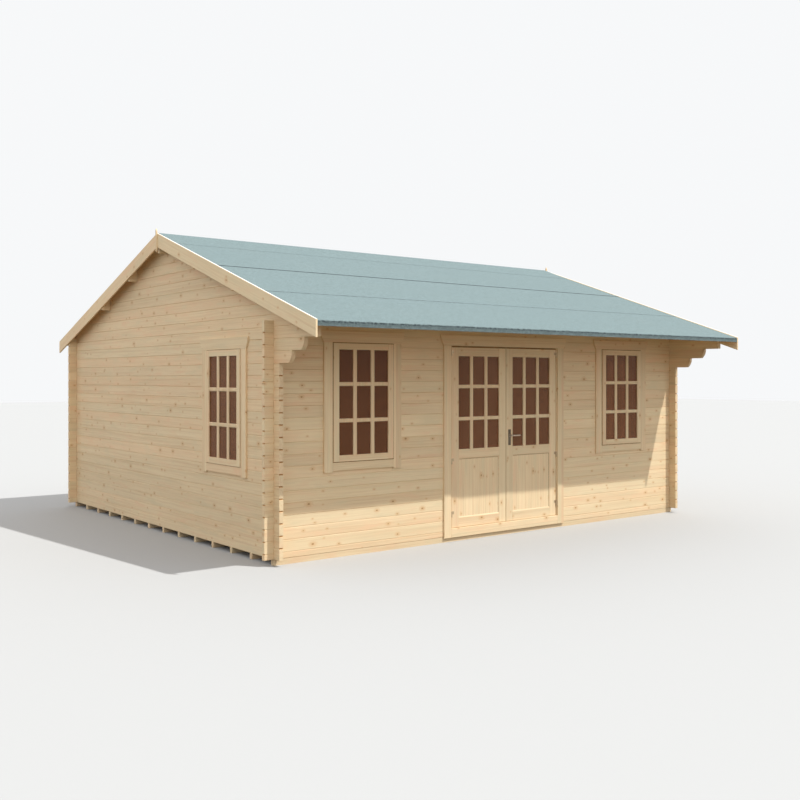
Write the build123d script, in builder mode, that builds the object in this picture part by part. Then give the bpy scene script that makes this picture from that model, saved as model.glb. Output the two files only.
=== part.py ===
"""A log cabin with a deep front eave, double glazed doors and four windows.

X runs along the front wall, Y runs from the front to the rear and Z is up. The origin is on the
ground under the middle of the ridge. All sizes are in millimetres.
"""
import os
from math import cos, radians, tan

from build123d import *

# Log walls
course = 114.0
log_thickness = 44.0
log_chamfer = 4.0
log_stub = 100.0
end_notch_depth = 14.0
end_notch_height = 14.0
seam = 0.4
wall_width = 5960.0
wall_depth = 5310.0
ridge_from_front = 2350.0
courses_over_door = 2
infill_courses = 2

# Eave brackets: the ends of the top side logs step forward under the front eave
eave_log_drop = 2
eave_log_set_back = 114.0
bracket_set_back = (532.0, 322.0)
bracket_nose = 8.0
bracket_undercut = 52.0

# Roof
roof_pitch = 18.83
front_overhang = 900.0
roof_seat_gap = 10.0
board_thickness = 18.0
felt_thickness = 3.0
felt_fold = 48.0
verge_overhang = 102.0
bargeboard_width = 148.0
bargeboard_thickness = 18.0
bargeboard_rise = 10.0
bargeboard_lap = 6.0
cover_strip_width = 28.0
cover_strip_thickness = 12.0
cover_strip_drop = 214.0
cover_strip_rise = 50.0
eave_board_height = 32.0
eave_board_thickness = 18.0
eave_board_set_back = 30.0
purlin_thickness = 44.0
purlin_depth = 145.0
purlin_spacing = 855.0
purlins_per_slope = 2
ridge_beam_depth = 190.0

# Floor
bearer_width = 44.0
bearer_count = 14
bearer_set_back = 6.0
floor_thickness = 26.0
floor_gap = 5.0

# Trim boards round the windows and the door
trim_thickness = 18.0
head_board_height = 114.0
head_board_ear = 42.0
head_board_sweep = 192.0
window_trim_width = 101.0
window_apron_height = 80.0
window_trim_tail = 16.0
door_trim_width = 100.0
door_trim_bottom = 45.0

# Windows
window_offset = 1963.0
side_window_from_front = 976.0
sash_width = 727.0
sash_height = 1155.0
sash_thickness = 36.0
sash_projection = 26.0
sash_stile = 65.0
sash_rail = 62.0
window_frame_width = 30.0
frame_depth = 70.0
trim_gap = 5.0
glass_thickness = 4.0
glass_set_back = 14.0

# Doors
leaf_width = 796.0
leaf_height = 1940.0
leaf_thickness = 40.0
leaf_bottom = 145.0
leaf_gap = 5.0
meeting_gap = 8.0
door_stile = 100.0
door_top_rail = 105.0
door_lock_rail = 93.0
door_bottom_rail = 95.0
door_panel_height = 646.0
door_panel_thickness = 18.0
door_panel_set_back = 8.0
door_frame_width = 40.0
door_stop_width = 20.0
door_reveal = 13.0

# Hinges
hinges_from_bottom = (145.0, 710.0)
hinge_from_top = 75.0
hinge_edge = 6.0
hinge_stand_off = 8.0
knuckle_radius = 7.0
knuckle_height = 30.0
knuckle_gap = 0.3
flap_thickness = 2.5
flap_width = 34.0
frame_flap_width = 10.0

# Door handle
handle_inset = 50.0
handle_height = 1103.0
plate_width = 38.0
plate_height = 176.0
plate_thickness = 3.0
plate_drop = 22.0
lever_size = 16.0
lever_chamfer = 4.5
lever_stand_off = 46.0
lever_length = 118.0
lever_bend = 16.0
lever_gap = 0.4
spindle_size = 8.0
spindle_hole_radius = 7.0
spindle_hole_sides = 8

# Places worked out from the sizes above
half_width = wall_width / 2
inner_half_width = half_width - log_thickness
front_face = -ridge_from_front
rear_face = wall_depth - ridge_from_front
front_inner = front_face + log_thickness
rear_inner = rear_face - log_thickness
bearer_height = course / 2
slope = tan(radians(roof_pitch))
plumb = 1 / cos(radians(roof_pitch))
leaf_head = leaf_bottom + leaf_height
long_logs_from = int(leaf_head / course)
wall_courses = long_logs_from + courses_over_door
eave_log = wall_courses - eave_log_drop
bracket_log = eave_log - len(bracket_set_back)
roof_half_depth = ridge_from_front + front_overhang
roof_half_width = half_width + verge_overhang
eave_board_face = roof_half_depth - eave_board_set_back
eave_board_back = eave_board_face - eave_board_thickness
eave_log_end = eave_board_back - eave_log_set_back
ridge_underside = (eave_log + 1.5) * course + roof_seat_gap + eave_board_back * slope
window_head = leaf_head
window_sill_height = window_head - sash_height
hinge_heights = [leaf_bottom + rise for rise in hinges_from_bottom] + [leaf_head - hinge_from_top]
door_half_width = leaf_width + meeting_gap / 2 + leaf_gap
door_opening_half = door_half_width + door_frame_width
door_head = leaf_head + leaf_gap + door_frame_width
door_sill_bottom = course
window_opening_width = sash_width + 2 * (window_frame_width + 2 * seam)
gable_courses = int((ridge_underside - course / 2) / course) + 1
hinge_axis_x = leaf_width + meeting_gap / 2 + hinge_edge
hinge_axis_y = front_face - hinge_stand_off
far = 2 * (wall_width + wall_depth)

os.makedirs("parts", exist_ok=True)


def underside(y):
    """Height of the underside of the roof boards at a distance y from the ridge."""
    return ridge_underside - abs(y) * slope


def save(part, name):
    part.label = name
    export_step(part, f"parts/{name}.step")


def front_plane(x, z, y=front_face):
    """Plane on the front wall, seen from outside: local x to the right, local y up."""
    return Plane(origin=(x, y, z), x_dir=(1, 0, 0), z_dir=(0, -1, 0))


def left_plane(y, z):
    """Plane on the outer face of the left wall, seen from outside."""
    return Plane(origin=(-half_width, y, z), x_dir=(0, -1, 0), z_dir=(-1, 0, 0))


def right_plane(y, z):
    """Plane on the outer face of the right wall, seen from outside."""
    return Plane(origin=(half_width, y, z), x_dir=(0, 1, 0), z_dir=(1, 0, 0))


def log_section(middle, bottom, height=course):
    """One log's section: a rectangle with its two outer long edges chamfered.

    The outer edges are those farther from the sketch's origin, which lies inside the cabin.
    """
    with Locations((middle, bottom + (height - seam) / 2)):
        log = Rectangle(log_thickness, height - seam)
    chamfer(log.vertices().sort_by(Axis.X, reverse=middle > 0)[:2], log_chamfer)


def front_logs(y_middle, x_start, x_end, bottoms, height=course):
    """Logs that run along X, one for each bottom height, stacked without touching."""
    with BuildSketch(Plane.YZ.offset(x_start)) as stack:
        for bottom in bottoms:
            log_section(y_middle, bottom, height)
    extrude(stack.sketch, amount=x_end - x_start)


def side_logs(x_middle, y_start, y_end, bottoms):
    """Logs that run along Y, one for each bottom height, stacked without touching."""
    with BuildSketch(Plane.XZ.offset(-y_start)) as stack:
        for bottom in bottoms:
            log_section(x_middle, bottom)
    extrude(stack.sketch, amount=y_start - y_end)


def corner_notches(plane, middle, joints):
    """Cuts a log's top and bottom quarters where a crossing log interlocks with it.

    Logs of crossing walls lie half a course apart, so each keeps the middle half of its height
    in the corner and the kept halves fill the corner column.
    """
    with BuildSketch(plane) as notches:
        for joint in joints:
            with Locations((middle, joint * course - seam / 2)):
                Rectangle(log_thickness + 2 * seam, course / 2 + seam)
    extrude(notches.sketch, amount=log_thickness, both=True, mode=Mode.SUBTRACT)


def end_notches(plane, end, joints):
    """Cuts a pointed notch at every joint in the logs' ends, across their whole thickness."""
    with BuildSketch(plane) as notches:
        for joint in joints:
            with Locations((end, joint * course - seam / 2)):
                Polygon(
                    (-end_notch_depth, 0),
                    (0, end_notch_height / 2),
                    (end_notch_depth, 0),
                    (0, -end_notch_height / 2),
                )
    extrude(notches.sketch, amount=log_thickness, both=True, mode=Mode.SUBTRACT)


def opening(plane, width, bottom, top):
    """Cuts a rectangular opening through the logs."""
    with BuildSketch(plane) as gap:
        with Locations((0, (bottom + top) / 2)):
            Rectangle(width, top - bottom)
    extrude(gap.sketch, amount=log_thickness * 2, both=True, mode=Mode.SUBTRACT)


def above_roof():
    """Cuts everything above the underside of the roof boards."""
    with BuildSketch(Plane.YZ.offset(-roof_half_width)) as sky:
        with BuildLine():
            Polyline(
                (-far, underside(far)),
                (0, ridge_underside - seam),
                (far, underside(far)),
                (far, far),
                (-far, far),
                close=True,
            )
        make_face()
    extrude(sky.sketch, amount=2 * roof_half_width, mode=Mode.SUBTRACT)


def front_window_opening(x):
    opening(
        front_plane(x, 0),
        window_opening_width,
        window_sill_height - window_frame_width - 2 * seam,
        window_head + window_frame_width + 2 * seam,
    )


# Front wall. The logs below the door head stop at the door frame on each side.
front_middle = front_face + log_thickness / 2
rear_middle = rear_face - log_thickness / 2
side_middle = half_width - log_thickness / 2
stub_end = half_width + log_stub
notch_plane_front = Plane.XZ.offset(-front_middle)
notch_plane_side = Plane.YZ.offset(-side_middle)

with BuildPart() as front_wall_left:
    front_logs(
        front_middle,
        -stub_end,
        -door_opening_half - seam,
        [k * course for k in range(1, long_logs_from)],
    )
    corner_notches(notch_plane_front, -side_middle, range(1, long_logs_from + 1))
    end_notches(notch_plane_front, -stub_end, range(1, long_logs_from + 1))
    front_window_opening(-window_offset)
save(front_wall_left.part, "front_wall_left")

with BuildPart() as front_wall_right:
    mirror(front_wall_left.part, about=Plane.YZ)
save(front_wall_right.part, "front_wall_right")

with BuildPart() as front_wall_top:
    front_logs(
        front_middle,
        -stub_end,
        stub_end,
        [k * course for k in range(long_logs_from, wall_courses)],
    )
    for side in (-1, 1):
        corner_notches(
            notch_plane_front, side * side_middle, range(long_logs_from, wall_courses + 1)
        )
        end_notches(notch_plane_front, side * stub_end, range(long_logs_from, wall_courses))
        front_window_opening(side * window_offset)
    opening(front_plane(0, 0), 2 * (door_opening_half + seam), 0, door_head + seam)
    front_logs(
        front_middle,
        -inner_half_width + seam,
        inner_half_width - seam,
        [k * course for k in range(wall_courses, wall_courses + infill_courses + 1)],
    )
    above_roof()
save(front_wall_top.part, "front_wall_top")

with BuildPart() as front_sill_log:
    front_logs(front_middle, -stub_end, stub_end, [course / 2], course / 2)
    for side in (-1, 1):
        corner_notches(notch_plane_front, side * side_middle, [1])
        end_notches(notch_plane_front, side * stub_end, [1])
save(front_sill_log.part, "front_sill_log")

# Rear wall, with no opening
with BuildPart() as rear_wall:
    front_logs(rear_middle, -stub_end, stub_end, [course / 2], course / 2)
    front_logs(rear_middle, -stub_end, stub_end, [k * course for k in range(1, wall_courses)])
    for side in (-1, 1):
        corner_notches(
            Plane.XZ.offset(-rear_middle), side * side_middle, range(1, wall_courses + 1)
        )
        end_notches(Plane.XZ.offset(-rear_middle), side * stub_end, range(1, wall_courses))
    front_logs(
        rear_middle,
        -inner_half_width + seam,
        inner_half_width - seam,
        [wall_courses * course],
    )
    above_roof()
save(rear_wall.part, "rear_wall")

# Side walls. Their logs lie half a course above those of the front wall.
side_window_y = front_face + side_window_from_front


def log_bottom(n):
    return (n + 0.5) * course


def rounded_end(end, n):
    """Rounds the lower corner of a bracket log's end, from a plumb nose to an undercut."""
    bottom = log_bottom(n)
    with BuildSketch(Plane.YZ.offset(-half_width - seam)) as waste:
        with BuildLine():
            nose = Line((end - seam, bottom + course), (end, bottom + course - bracket_nose))
            TangentArc(nose @ 1, (end + bracket_undercut, bottom), tangent=(0, -1))
            Polyline(
                (end + bracket_undercut, bottom),
                (end + bracket_undercut, bottom - seam),
                (end - seam, bottom - seam),
                (end - seam, bottom + course),
            )
        make_face()
    extrude(waste.sketch, amount=log_thickness + 2 * seam, mode=Mode.SUBTRACT)


def corner_joints(first, last):
    return [n + 0.5 for n in range(first, last)]


with BuildPart() as left_wall:
    side_logs(
        -side_middle,
        front_face - log_stub,
        rear_face + log_stub,
        [log_bottom(n) for n in range(bracket_log)],
    )
    for step, set_back in enumerate(bracket_set_back):
        n = bracket_log + step
        side_logs(
            -side_middle, set_back - eave_board_back, rear_face + log_stub, [log_bottom(n)]
        )
        rounded_end(set_back - eave_board_back, n)
    side_logs(-side_middle, -eave_log_end, rear_face + log_stub, [log_bottom(eave_log)])
    for middle in (front_middle, rear_middle):
        corner_notches(notch_plane_side, middle, corner_joints(0, eave_log + 2))
    end_notches(notch_plane_side, front_face - log_stub, corner_joints(1, bracket_log))
    end_notches(notch_plane_side, rear_face + log_stub, corner_joints(1, eave_log + 1))
    above_roof()
    opening(
        left_plane(side_window_y, 0),
        window_opening_width,
        window_sill_height - course / 2 - window_frame_width - 2 * seam,
        window_head - course / 2 + window_frame_width + 2 * seam,
    )
save(left_wall.part, "left_wall")

with BuildPart() as right_wall:
    mirror(left_wall.part, about=Plane.YZ)
save(right_wall.part, "right_wall")


def purlin_sections(clearance):
    """The ridge beam's and the purlins' sections, each with a clearance all round."""
    with BuildSketch(Plane.YZ.offset(-roof_half_width)) as sections:
        for place in range(-purlins_per_slope, purlins_per_slope + 1):
            middle = place * purlin_spacing
            depth = purlin_depth if place else ridge_beam_depth
            bottom = underside(middle) - depth - clearance
            height = depth + 2 * clearance + purlin_thickness
            with Locations((middle, bottom + height / 2)):
                Rectangle(purlin_thickness + 2 * clearance, height)
    return sections.sketch


# Purlins: a ridge beam and two purlins on each slope, their tops cut to the roof
with BuildPart() as purlins:
    extrude(purlin_sections(0), amount=2 * roof_half_width)
    above_roof()
save(purlins.part, "purlins")

# Gables, cut to the roof and notched round the purlins
with BuildPart() as left_gable:
    side_logs(
        -side_middle,
        -eave_log_end,
        rear_face + log_stub,
        [log_bottom(n) for n in range(eave_log + 1, gable_courses)],
    )
    above_roof()
    for middle in (front_middle, rear_middle):
        corner_notches(notch_plane_side, middle, [eave_log + 1.5])
    extrude(purlin_sections(seam), amount=roof_half_width, mode=Mode.SUBTRACT)
save(left_gable.part, "left_gable")

with BuildPart() as right_gable:
    mirror(left_gable.part, about=Plane.YZ)
save(right_gable.part, "right_gable")

# Floor bearers under the walls, and the floor inside them
first_bearer = front_face + bearer_set_back + bearer_width / 2
last_bearer = rear_face - bearer_set_back - bearer_width / 2
bearer_spacing = (last_bearer - first_bearer) / (bearer_count - 1)

with BuildPart() as floor_bearers:
    with BuildSketch(Plane.XY):
        with Locations((0, (first_bearer + last_bearer) / 2)):
            with GridLocations(wall_width, bearer_spacing, 1, bearer_count):
                Rectangle(wall_width, bearer_width)
    extrude(amount=bearer_height)
save(floor_bearers.part, "floor_bearers")

with BuildPart() as floor:
    with BuildSketch(Plane.XY.offset(bearer_height)):
        with Locations((0, (front_inner + rear_inner) / 2)):
            Rectangle(
                2 * (inner_half_width - floor_gap), rear_inner - front_inner - 2 * floor_gap
            )
    extrude(amount=floor_thickness)
save(floor.part, "floor")


def roof_sheet(lower, thickness, reach, fold):
    """A sheet on the front slope, plumb cut at the eave, with an optional folded edge."""
    step = lower * plumb
    top = (lower + thickness) * plumb
    with BuildSketch(Plane.YZ.offset(-roof_half_width)) as section:
        with BuildLine():
            points = [
                (0, ridge_underside + step),
                (0, ridge_underside + top),
                (-reach, underside(reach) + top),
            ]
            if fold:
                points += [
                    (-reach, underside(reach) + top - fold),
                    (-reach + thickness, underside(reach) + top - fold),
                    (-reach + thickness, underside(reach - thickness) + step),
                ]
            else:
                points += [(-reach, underside(reach) + step)]
            Polyline(*points, close=True)
        make_face()
    extrude(section.sketch, amount=2 * roof_half_width)


with BuildPart() as front_roof_boards:
    roof_sheet(0, board_thickness, roof_half_depth, 0)
save(front_roof_boards.part, "front_roof_boards")

with BuildPart() as rear_roof_boards:
    mirror(front_roof_boards.part, about=Plane.XZ)
save(rear_roof_boards.part, "rear_roof_boards")

with BuildPart() as front_felt:
    roof_sheet(board_thickness, felt_thickness, roof_half_depth + felt_thickness, felt_fold)
save(front_felt.part, "front_felt")

with BuildPart() as rear_felt:
    mirror(front_felt.part, about=Plane.XZ)
save(rear_felt.part, "rear_felt")

with BuildPart() as eave_boards:
    with BuildSketch(Plane.YZ.offset(-roof_half_width)):
        with BuildLine():
            Polyline(
                (-eave_board_face, underside(eave_board_face)),
                (-eave_board_back, underside(eave_board_back)),
                (-eave_board_back, underside(eave_board_face) - eave_board_height),
                (-eave_board_face, underside(eave_board_face) - eave_board_height),
                close=True,
            )
        make_face()
    extrude(amount=2 * roof_half_width)
    mirror(about=Plane.XZ)
save(eave_boards.part, "eave_boards")

# Bargeboards: plumb cut at the eave and at the ridge, where a strip covers their joint
bargeboard_top = (board_thickness + felt_thickness + bargeboard_rise) * plumb
bargeboard_end = roof_half_depth + bargeboard_lap
bargeboard_depth = bargeboard_width * plumb

with BuildPart() as front_bargeboards:
    with BuildSketch(Plane.YZ.offset(-roof_half_width)):
        with BuildLine():
            Polyline(
                (0, ridge_underside + bargeboard_top),
                (-bargeboard_end, underside(bargeboard_end) + bargeboard_top),
                (-bargeboard_end, underside(bargeboard_end) + bargeboard_top - bargeboard_depth),
                (0, ridge_underside + bargeboard_top - bargeboard_depth),
                close=True,
            )
        make_face()
    extrude(amount=-bargeboard_thickness)
    mirror(about=Plane.YZ)
save(front_bargeboards.part, "front_bargeboards")

with BuildPart() as rear_bargeboards:
    mirror(front_bargeboards.part, about=Plane.XZ)
save(rear_bargeboards.part, "rear_bargeboards")

strip_top = ridge_underside + bargeboard_top + cover_strip_rise
strip_foot = ridge_underside + bargeboard_top - cover_strip_drop
with BuildPart() as gable_cover_strips:
    with BuildSketch(Plane.YZ.offset(-roof_half_width - bargeboard_thickness)):
        with BuildLine():
            Polyline(
                (-cover_strip_width / 2, strip_top - cover_strip_width),
                (0, strip_top),
                (cover_strip_width / 2, strip_top - cover_strip_width),
                (cover_strip_width / 2, strip_foot + cover_strip_width),
                (0, strip_foot),
                (-cover_strip_width / 2, strip_foot + cover_strip_width),
                close=True,
            )
        make_face()
    extrude(amount=-cover_strip_thickness)
    mirror(about=Plane.YZ)
save(gable_cover_strips.part, "gable_cover_strips")


def ring(plane, bottom, width, height, stile, top_rail, bottom_rail, depth):
    """Two full-height stiles with a top and a bottom rail between them, from a plane inwards."""
    rail_length = width - 2 * (stile + seam)
    with BuildSketch(plane) as members:
        with Locations((0, bottom + height / 2)):
            with GridLocations(width - stile, height, 2, 1):
                Rectangle(stile, height)
        with Locations((0, bottom + height - top_rail / 2)):
            Rectangle(rail_length, top_rail)
        with Locations((0, bottom + bottom_rail / 2)):
            Rectangle(rail_length, bottom_rail)
    extrude(members.sketch, amount=-depth)


def window(name, plane):
    """A fixed frame in the wall with a glazed sash; the plane is at the sash's bottom edge."""
    frame_border = window_frame_width + seam
    with BuildPart() as frame:
        ring(
            plane,
            -frame_border,
            sash_width + 2 * frame_border,
            sash_height + 2 * frame_border,
            window_frame_width,
            window_frame_width,
            window_frame_width,
            frame_depth,
        )
        ring(
            plane.offset(sash_projection),
            0,
            sash_width,
            sash_height,
            sash_stile,
            sash_rail,
            sash_rail,
            sash_thickness,
        )
    save(frame.part, name)
    glass_width = sash_width - 2 * (sash_stile + seam)
    glass_height = sash_height - 2 * (sash_rail + seam)
    with BuildPart() as glass:
        with BuildSketch(plane.offset(sash_projection - glass_set_back)):
            with Locations((0, sash_height / 2)):
                Rectangle(glass_width, glass_height)
        extrude(amount=-glass_thickness)
    save(glass.part, f"{name}_glass")


def head_board(width, bottom):
    """A head board whose ends sweep out to ears at its top corners."""
    half = width / 2
    with BuildLine() as outline:
        Polyline(
            (half + head_board_ear, bottom + head_board_height),
            (-half - head_board_ear, bottom + head_board_height),
        )
        RadiusArc(
            (-half - head_board_ear, bottom + head_board_height),
            (-half, bottom),
            -head_board_sweep,
        )
        Line((-half, bottom), (half, bottom))
        RadiusArc(
            (half, bottom),
            (half + head_board_ear, bottom + head_board_height),
            -head_board_sweep,
        )
    make_face(outline.line)


def window_trim(name, plane):
    """Two side boards, a head board with ears and an apron board, with a gap round the sash."""
    inner = sash_width + 2 * trim_gap
    outer = inner + 2 * window_trim_width
    top = sash_height + trim_gap
    tail = trim_gap + window_apron_height + window_trim_tail
    with BuildPart() as trim:
        with BuildSketch(plane):
            with Locations((0, (top - seam - tail) / 2)):
                with GridLocations(inner + window_trim_width, 0, 2, 1):
                    Rectangle(window_trim_width, top - seam + tail)
            head_board(outer, top)
            with Locations((0, -trim_gap - window_apron_height / 2)):
                Rectangle(inner - 2 * seam, window_apron_height)
        extrude(amount=trim_thickness)
    save(trim.part, name)


side_sill_height = window_sill_height - course / 2
window_planes = {
    "front_left_window": front_plane(-window_offset, window_sill_height),
    "front_right_window": front_plane(window_offset, window_sill_height),
    "left_window": left_plane(side_window_y, side_sill_height),
    "right_window": right_plane(side_window_y, side_sill_height),
}
for name, plane in window_planes.items():
    window(name, plane)
    window_trim(f"{name}_trim", plane)

# Door frame: jambs and head with a stop behind the leaves, and a sill
stop_depth = leaf_thickness + leaf_gap
head_bottom = leaf_head + leaf_gap
with BuildPart() as door_frame:
    with BuildSketch(front_plane(0, 0)):
        with Locations((0, (door_head + door_sill_bottom) / 2)):
            with GridLocations(door_half_width * 2 + door_frame_width, 0, 2, 1):
                Rectangle(door_frame_width, door_head - door_sill_bottom)
        with Locations((0, (door_head + head_bottom) / 2)):
            Rectangle(2 * (door_half_width - seam), door_frame_width)
        with Locations((0, (door_sill_bottom + leaf_bottom - leaf_gap) / 2)):
            Rectangle(
                2 * (door_half_width - seam), leaf_bottom - leaf_gap - door_sill_bottom
            )
    extrude(amount=-frame_depth)
    with BuildSketch(front_plane(0, 0).offset(-stop_depth)):
        with Locations((0, (head_bottom + leaf_bottom - leaf_gap) / 2)):
            with GridLocations(door_half_width * 2 - door_stop_width, 0, 2, 1):
                Rectangle(door_stop_width, head_bottom - leaf_bottom + leaf_gap - 2 * seam)
        with Locations((0, head_bottom - door_stop_width / 2)):
            Rectangle(2 * (door_half_width - door_stop_width - seam), door_stop_width)
    extrude(amount=stop_depth - frame_depth)
save(door_frame.part, "door_frame")

with BuildPart() as door_trim:
    with BuildSketch(front_plane(0, 0)):
        inner = door_half_width + door_reveal
        top = leaf_head + leaf_gap - seam
        with Locations((0, (top + door_trim_bottom) / 2)):
            with GridLocations(2 * inner + door_trim_width, 0, 2, 1):
                Rectangle(door_trim_width, top - door_trim_bottom)
        with Locations((0, (leaf_bottom - leaf_gap + door_trim_bottom) / 2)):
            Rectangle(2 * (inner - seam), leaf_bottom - leaf_gap - door_trim_bottom)
        head_board(2 * (inner + door_trim_width), leaf_head + leaf_gap)
    extrude(amount=trim_thickness)
save(door_trim.part, "door_trim")


def door_leaf(side):
    """A leaf's stiles and rails, with a board panel between the lock and bottom rails."""
    middle = side * (leaf_width + meeting_gap) / 2
    plane = front_plane(middle, leaf_bottom)
    rail_length = leaf_width - 2 * (door_stile + seam)
    panel_middle = door_bottom_rail + door_panel_height / 2
    ring(
        plane,
        0,
        leaf_width,
        leaf_height,
        door_stile,
        door_top_rail,
        door_bottom_rail,
        leaf_thickness,
    )
    with BuildSketch(plane) as lock_rail:
        with Locations((0, door_bottom_rail + door_panel_height + door_lock_rail / 2)):
            Rectangle(rail_length, door_lock_rail)
    extrude(lock_rail.sketch, amount=-leaf_thickness)
    with BuildSketch(plane.offset(-door_panel_set_back)) as panel:
        with Locations((0, panel_middle)):
            Rectangle(rail_length, door_panel_height - 2 * seam)
    extrude(panel.sketch, amount=-door_panel_thickness)


with BuildPart() as left_door_leaf:
    door_leaf(-1)
save(left_door_leaf.part, "left_door_leaf")

handle_x = meeting_gap / 2 + handle_inset
with BuildPart() as right_door_leaf:
    door_leaf(1)
    with BuildSketch(front_plane(handle_x, handle_height)):
        RegularPolygon(spindle_hole_radius, spindle_hole_sides)
    extrude(amount=-leaf_thickness, mode=Mode.SUBTRACT)
save(right_door_leaf.part, "right_door_leaf")

glass_bottom = door_bottom_rail + door_panel_height + door_lock_rail + seam
glass_top = leaf_height - door_top_rail - seam
for side, name in ((-1, "left_door_glass"), (1, "right_door_glass")):
    middle = side * (leaf_width + meeting_gap) / 2
    with BuildPart() as glass:
        with BuildSketch(front_plane(middle, leaf_bottom).offset(-glass_set_back)):
            with Locations((0, (glass_bottom + glass_top) / 2)):
                Rectangle(leaf_width - 2 * (door_stile + seam), glass_top - glass_bottom)
        extrude(amount=-glass_thickness)
    save(glass.part, name)


def hinge_halves(side, bottoms, reach):
    """One half of each hinge on a side: a round knuckle with a flap that reaches from its axis."""
    x = side * hinge_axis_x
    for bottom in bottoms:
        with BuildSketch(Plane.XY.offset(bottom)) as section:
            with Locations((x, hinge_axis_y)):
                Circle(knuckle_radius)
            with Locations((x + side * reach / 2, front_face - flap_thickness / 2)):
                Rectangle(abs(reach), flap_thickness)
        extrude(section.sketch, amount=knuckle_height)


# Hinges: the knuckle of the frame's half is below and that of the leaf's half stands on it
with BuildPart() as hinge_pins:
    for side in (-1, 1):
        hinge_halves(side, [height - knuckle_height for height in hinge_heights], frame_flap_width)
save(hinge_pins.part, "hinge_pins")

with BuildPart() as left_hinge_sleeves:
    hinge_halves(-1, [height + knuckle_gap for height in hinge_heights], -flap_width)
save(left_hinge_sleeves.part, "left_hinge_sleeves")

with BuildPart() as right_hinge_sleeves:
    hinge_halves(1, [height + knuckle_gap for height in hinge_heights], -flap_width)
save(right_hinge_sleeves.part, "right_hinge_sleeves")

# Handle plates on both faces of the right leaf, and the lever pair on its spindle
leaf_middle_plane = Plane.XZ.offset(-front_face - leaf_thickness / 2)
with BuildPart() as handle_plates:
    with BuildSketch(front_plane(handle_x, handle_height)):
        with Locations((0, -plate_drop)):
            plate = Rectangle(plate_width, plate_height)
            chamfer(plate.vertices(), plate_thickness)
        RegularPolygon(spindle_hole_radius, spindle_hole_sides, mode=Mode.SUBTRACT)
    extrude(amount=plate_thickness)
    mirror(about=leaf_middle_plane)
save(handle_plates.part, "handle_plates")

lever_start = front_face - plate_thickness - lever_gap
with BuildPart() as lever_handle:
    with BuildLine():
        Polyline(
            (handle_x, lever_start, handle_height),
            (handle_x, lever_start - lever_stand_off + lever_bend, handle_height),
            (handle_x + lever_bend, lever_start - lever_stand_off, handle_height),
            (handle_x + lever_length, lever_start - lever_stand_off, handle_height),
        )
    with BuildSketch(front_plane(handle_x, handle_height, lever_start)):
        bar = Rectangle(lever_size, lever_size)
        chamfer(bar.vertices(), lever_chamfer)
    sweep(transition=Transition.RIGHT)
    with BuildSketch(front_plane(handle_x, handle_height, lever_start)):
        Rectangle(spindle_size, spindle_size)
    extrude(amount=lever_start - front_face - leaf_thickness / 2)
    mirror(about=leaf_middle_plane)
save(lever_handle.part, "lever_handle")
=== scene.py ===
"""Looks of a pine log cabin: timber, felt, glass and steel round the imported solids."""

import math
from functools import reduce

import bmesh
import bpy
import numpy as np
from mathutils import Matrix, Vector


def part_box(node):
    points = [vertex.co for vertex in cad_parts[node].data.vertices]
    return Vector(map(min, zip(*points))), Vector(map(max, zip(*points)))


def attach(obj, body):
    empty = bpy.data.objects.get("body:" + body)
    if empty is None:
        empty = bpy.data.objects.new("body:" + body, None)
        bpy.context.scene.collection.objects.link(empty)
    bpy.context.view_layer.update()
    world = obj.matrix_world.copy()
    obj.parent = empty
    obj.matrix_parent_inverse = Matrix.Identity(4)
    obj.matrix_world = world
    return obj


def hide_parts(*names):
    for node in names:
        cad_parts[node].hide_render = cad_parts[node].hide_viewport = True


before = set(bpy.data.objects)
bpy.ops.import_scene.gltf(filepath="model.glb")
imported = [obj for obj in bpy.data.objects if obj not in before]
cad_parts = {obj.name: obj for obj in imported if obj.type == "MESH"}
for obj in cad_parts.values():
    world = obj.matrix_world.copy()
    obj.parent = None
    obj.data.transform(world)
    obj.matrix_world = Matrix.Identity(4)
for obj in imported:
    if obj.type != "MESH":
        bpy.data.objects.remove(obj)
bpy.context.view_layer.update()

bl_info = {
    "name": "Log Cabin Looks",
    "version": (1, 0, 0),
    "blender": (4, 5, 0),
    "location": "View3D > Sidebar > Cabin",
    "description": "Dresses a log cabin with timber, felt, glazing bars and fittings",
    "category": "Object",
}

WINDOWS = ("front_left_window", "front_right_window", "left_window", "right_window")
DOORS = ("left_door", "right_door")
ACROSS = (1.0, 0.0, 0.0)
UP = (0.0, 0.0, 1.0)

# Logs: their height, how far the side logs' joints lie above the front ones, how far the free
# ends stand out, how far a notch's mark reaches from a joint, and the tilt of a notch's faces
COURSE = 0.114
SIDE_SHIFT = COURSE / 2
STUB = 0.100
STUB_MARGIN = 0.01
NOTCH_REACH = 0.010
NOTCH_TILT = (0.38, 0.56)

# Roof: its pitch, the thickness of its boards, the bargeboards' faces and width, and the height
# of the eave boards' middle
PITCH = math.radians(18.83)
ROOF_BOARD_DEPTH = 0.018
VERGE = 3.1
VERGE_BOARD = 0.148
EAVE_HEIGHT = 2.2

# Beams: strips of the plan that give each bearer and purlin a wood of its own, the height from
# which the purlins' rings are counted, and how far the bearers' facings lie behind the logs'
# faces and below the bearers' tops
BEARER_STRIP = 0.4
PURLIN_STRIP = 0.43
PURLIN_BASE = 2.8
FACING_BEHIND = 0.0015
FACING_BELOW = 0.001

# Felt: its thickness, its laps by distance from the ridge, thickness and bare bitumen, how far
# it stands off the ridge, its fold's height, and where its edge is scuffed
FELT = 0.0029
LAPS = ((0.450, 0.0016, 0.10), (1.395, 0.0034, 0.85), (2.340, 0.0022, 0.22))
RIDGE_LIFT = 0.014
FOLD = 0.048
SCUFFED_FROM = 3.230

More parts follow.
